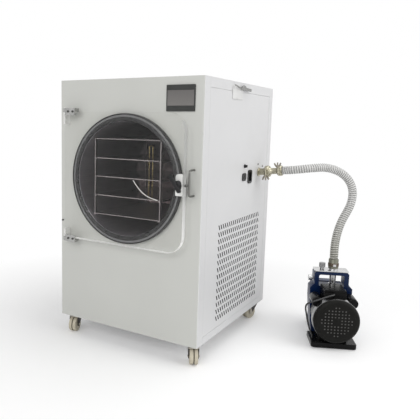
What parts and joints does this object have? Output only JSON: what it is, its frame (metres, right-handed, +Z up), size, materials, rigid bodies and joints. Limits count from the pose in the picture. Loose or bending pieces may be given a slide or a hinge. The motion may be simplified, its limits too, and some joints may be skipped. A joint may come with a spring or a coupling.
{
  "type": "laboratory freeze dryer",
  "caption": "Floor-standing freeze dryer on casters, with a round vacuum chamber behind a clear hinged door, a shelf rack, a flanged side port, and a hose to its rotary vane vacuum pump.",
  "frame": {"origin": "on the floor, under the middle of the cabinet and pump taken together (the hose left out)", "axes": "+Z up, -Y towards the user in front of the door, +X towards the pump on the cabinet's right-hand side"},
  "size_m": [0.9132, 0.7116, 0.864],
  "materials": {
    "front_enamel": "satin light warm grey",
    "side_enamel": "satin pale grey",
    "stainless": "brushed",
    "chamber_steel": "satin",
    "zinc": "zinc plated",
    "white_plastic": "matte",
    "black_plastic": "satin",
    "bezel_plastic": "satin",
    "display": "glossy",
    "gasket_rubber": "matte",
    "clear_acrylic": "clear polished",
    "brass": "drawn",
    "lead_white": "matte",
    "lead_black": "matte",
    "port_nickel": "turned, nickel plated",
    "steel": "bright",
    "coil_aluminium": "mill",
    "caster_nylon": "matte",
    "pump_black": "semi-gloss",
    "pump_blue": "semi-gloss",
    "pump_silver": "machined",
    "hose_pvc": "translucent, wire wound"
  },
  "bodies": {
    "cabinet": {"base_pan": "side_enamel", "front_panel": "front_enamel", "rear_panel": "side_enamel", "top_cover": "side_enamel", "left_panel": "side_enamel", "right_panel": "side_enamel", "chamber": "chamber_steel", "chamber_cradle": "zinc", "door_gasket": "gasket_rubber", "shelf_rack": "stainless", "shelf_1": "stainless", "shelf_2": "stainless", "shelf_3": "stainless", "probe_lead": "lead_white", "feed_pipe": "brass", "screen_bezel": "bezel_plastic", "screen_glass": "display", "door_striker": "steel", "door_bumper": "black_plastic", "hinge_bracket_upper": "white_plastic", "hinge_bracket_lower": "white_plastic", "power_inlet": "black_plastic", "pump_outlet": "black_plastic", "fuse_holder": "black_plastic", "side_latch_plate": "steel", "compressor": "pump_black", "condenser": "coil_aluminium", "port_pipe": "port_nickel", "clamp_inner": "port_nickel", "clamp_outer": "port_nickel", "port_reducer": "port_nickel", "hose_tail": "port_nickel", "pump_base": "pump_black", "pump_motor": "pump_black", "pump_fan_cover": "pump_black", "pump_casting": "pump_blue", "pump_oil_case": "pump_blue", "pump_inlet": "pump_silver", "pump_exhaust": "pump_silver", "pump_lead": "lead_black", "vacuum_hose": "hose_pvc"},
    "door": {"door_pane": "clear_acrylic", "hinge_arm_upper": "steel", "hinge_arm_lower": "steel", "latch_block": "white_plastic"},
    "door_latch": {"latch_lever": "black_plastic", "latch_catch": "steel"},
    "side_latch": {"side_latch_lever": "black_plastic"},
    "nut_inner": {"wing_nut_inner": "steel"},
    "nut_outer": {"wing_nut_outer": "steel"},
    "cooling_fan": {"condenser_fan": "black_plastic"},
    "ballast_valve": {"pump_ballast_knob": "pump_silver"},
    "caster_front_left": {"fork_front_left": "zinc"},
    "roller_front_left": {"wheel_front_left": "caster_nylon"},
    "caster_front_right": {"fork_front_right": "zinc"},
    "roller_front_right": {"wheel_front_right": "caster_nylon"},
    "caster_rear_right": {"fork_rear_right": "zinc"},
    "roller_rear_right": {"wheel_rear_right": "caster_nylon"},
    "caster_rear_left": {"fork_rear_left": "zinc"},
    "roller_rear_left": {"wheel_rear_left": "caster_nylon"}
  },
  "joints": [
    {"name": "door_hinge", "type": "hinge", "parent": "cabinet", "child": "door", "pos_m": [-0.41909, -0.31777, 0.555], "axis": [0, 0, -1], "range_deg": [0, 110]},
    {"name": "latch_turn", "type": "hinge", "parent": "door", "child": "door_latch", "pos_m": [0.0204, -0.31147, 0.554], "axis": [0, -1, 0], "range_deg": [0, 90]},
    {"name": "side_latch_turn", "type": "hinge", "parent": "cabinet", "child": "side_latch", "pos_m": [0.08041, -0.02847, 0.846], "axis": [-1, 0, 0], "range_deg": [0, 60]},
    {"name": "swivel_front_left", "type": "hinge", "parent": "cabinet", "child": "caster_front_left", "pos_m": [-0.4246, -0.25147, 0.058], "axis": [0, 0, 1], "continuous": true},
    {"name": "roll_front_left", "type": "hinge", "parent": "caster_front_left", "child": "roller_front_left", "pos_m": [-0.42097, -0.265, 0.025], "axis": [0.9659, 0.2588, 0], "continuous": true},
    {"name": "swivel_front_right", "type": "hinge", "parent": "cabinet", "child": "caster_front_right", "pos_m": [0.0414, -0.25147, 0.058], "axis": [0, 0, 1], "continuous": true},
    {"name": "roll_front_right", "type": "hinge", "parent": "caster_front_right", "child": "roller_front_right", "pos_m": [0.04882, -0.26335, 0.025], "axis": [0.848, 0.5299, 0], "continuous": true},
    {"name": "swivel_rear_right", "type": "hinge", "parent": "cabinet", "child": "caster_rear_right", "pos_m": [0.0414, 0.22853, 0.058], "axis": [0, 0, 1], "continuous": true},
    {"name": "roll_rear_right", "type": "hinge", "parent": "caster_rear_right", "child": "roller_rear_right", "pos_m": [0.03662, 0.21537, 0.025], "axis": [0.9397, -0.342, 0], "continuous": true},
    {"name": "swivel_rear_left", "type": "hinge", "parent": "cabinet", "child": "caster_rear_left", "pos_m": [-0.4246, 0.22853, 0.058], "axis": [0, 0, 1], "continuous": true},
    {"name": "roll_rear_left", "type": "hinge", "parent": "caster_rear_left", "child": "roller_rear_left", "pos_m": [-0.41247, 0.22153, 0.025], "axis": [0.5, 0.866, 0], "continuous": true},
    {"name": "fan_spin", "type": "hinge", "parent": "cabinet", "child": "cooling_fan", "pos_m": [-0.0506, -0.08947, 0.2373], "axis": [1, 0, 0], "continuous": true},
    {"name": "nut_inner_turn", "type": "hinge", "parent": "cabinet", "child": "nut_inner", "pos_m": [0.10734, 0.13123, 0.56987], "axis": [-0.1132, 0, 0.9936], "continuous": true},
    {"name": "nut_outer_turn", "type": "hinge", "parent": "cabinet", "child": "nut_outer", "pos_m": [0.15239, 0.13323, 0.575], "axis": [-0.1132, 0, 0.9936], "continuous": true},
    {"name": "ballast_turn", "type": "hinge", "parent": "cabinet", "child": "ballast_valve", "pos_m": [0.27328, 0.1842, 0.206], "axis": [0.9135, 0.4067, 0], "continuous": true}
  ]
}
